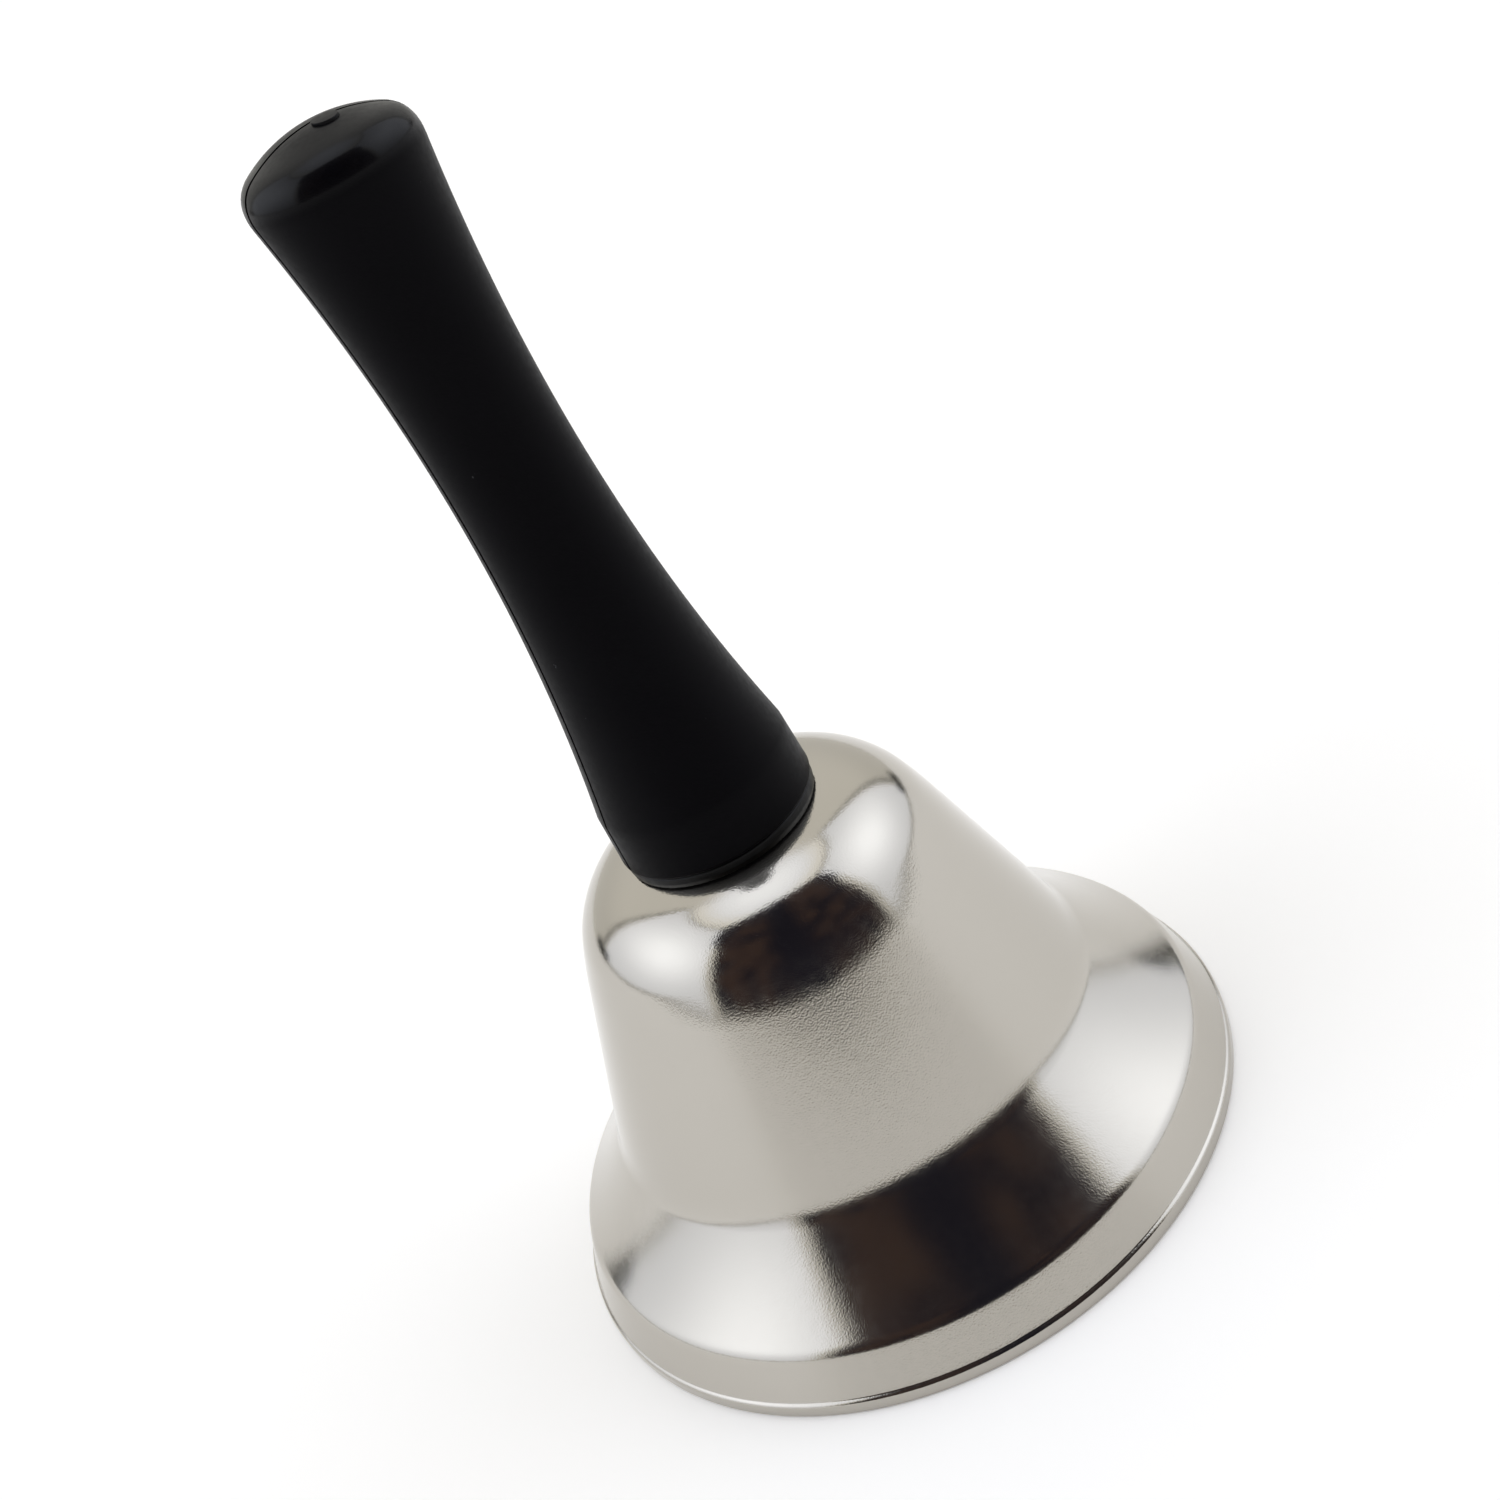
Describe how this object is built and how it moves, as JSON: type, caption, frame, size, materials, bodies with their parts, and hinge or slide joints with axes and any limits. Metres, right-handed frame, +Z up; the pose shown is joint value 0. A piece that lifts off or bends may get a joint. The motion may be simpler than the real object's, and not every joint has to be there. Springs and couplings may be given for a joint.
{
  "type": "hand bell",
  "caption": "Hand-held service bell: flared plated steel shell, waisted black moulded handle and a ball clapper hanging inside on a link.",
  "frame": {"origin": "centre of the mouth, on the plane the rim rests on", "axes": "+Z up the handle along the bell's axis, -Y towards the front, +X to the right"},
  "size_m": [0.08, 0.08, 0.129],
  "materials": {
    "nickel_plate": "bright nickel plate, slightly satin with a fine grain",
    "black_handle": "satin black moulded plastic, a little glossier on the dome",
    "black_washer": "matt black moulded washer",
    "zinc_steel": "zinc-plated steel",
    "ball_steel": "nickel-plated turned steel"
  },
  "bodies": {
    "bell": {"bell_shell": "nickel_plate", "base_collar": "black_washer", "handle_front_half": "black_handle", "handle_rear_half": "black_handle", "handle_nut": "zinc_steel", "eye_bolt": "zinc_steel", "crown_washer": "zinc_steel", "spring_washer": "zinc_steel"},
    "link": {"clapper_link": "zinc_steel"},
    "clapper": {"clapper_rod": "zinc_steel", "clapper_ball": "ball_steel"}
  },
  "joints": [
    {"name": "link_swing", "type": "hinge", "parent": "bell", "child": "link", "pos_m": [0, 0, 0.0394], "axis": [1, 0, 0], "range_deg": [-40, 40]},
    {"name": "clapper_swing", "type": "hinge", "parent": "link", "child": "clapper", "pos_m": [0, 0, 0.0354], "axis": [0, 1, 0], "range_deg": [-12, 12]}
  ]
}
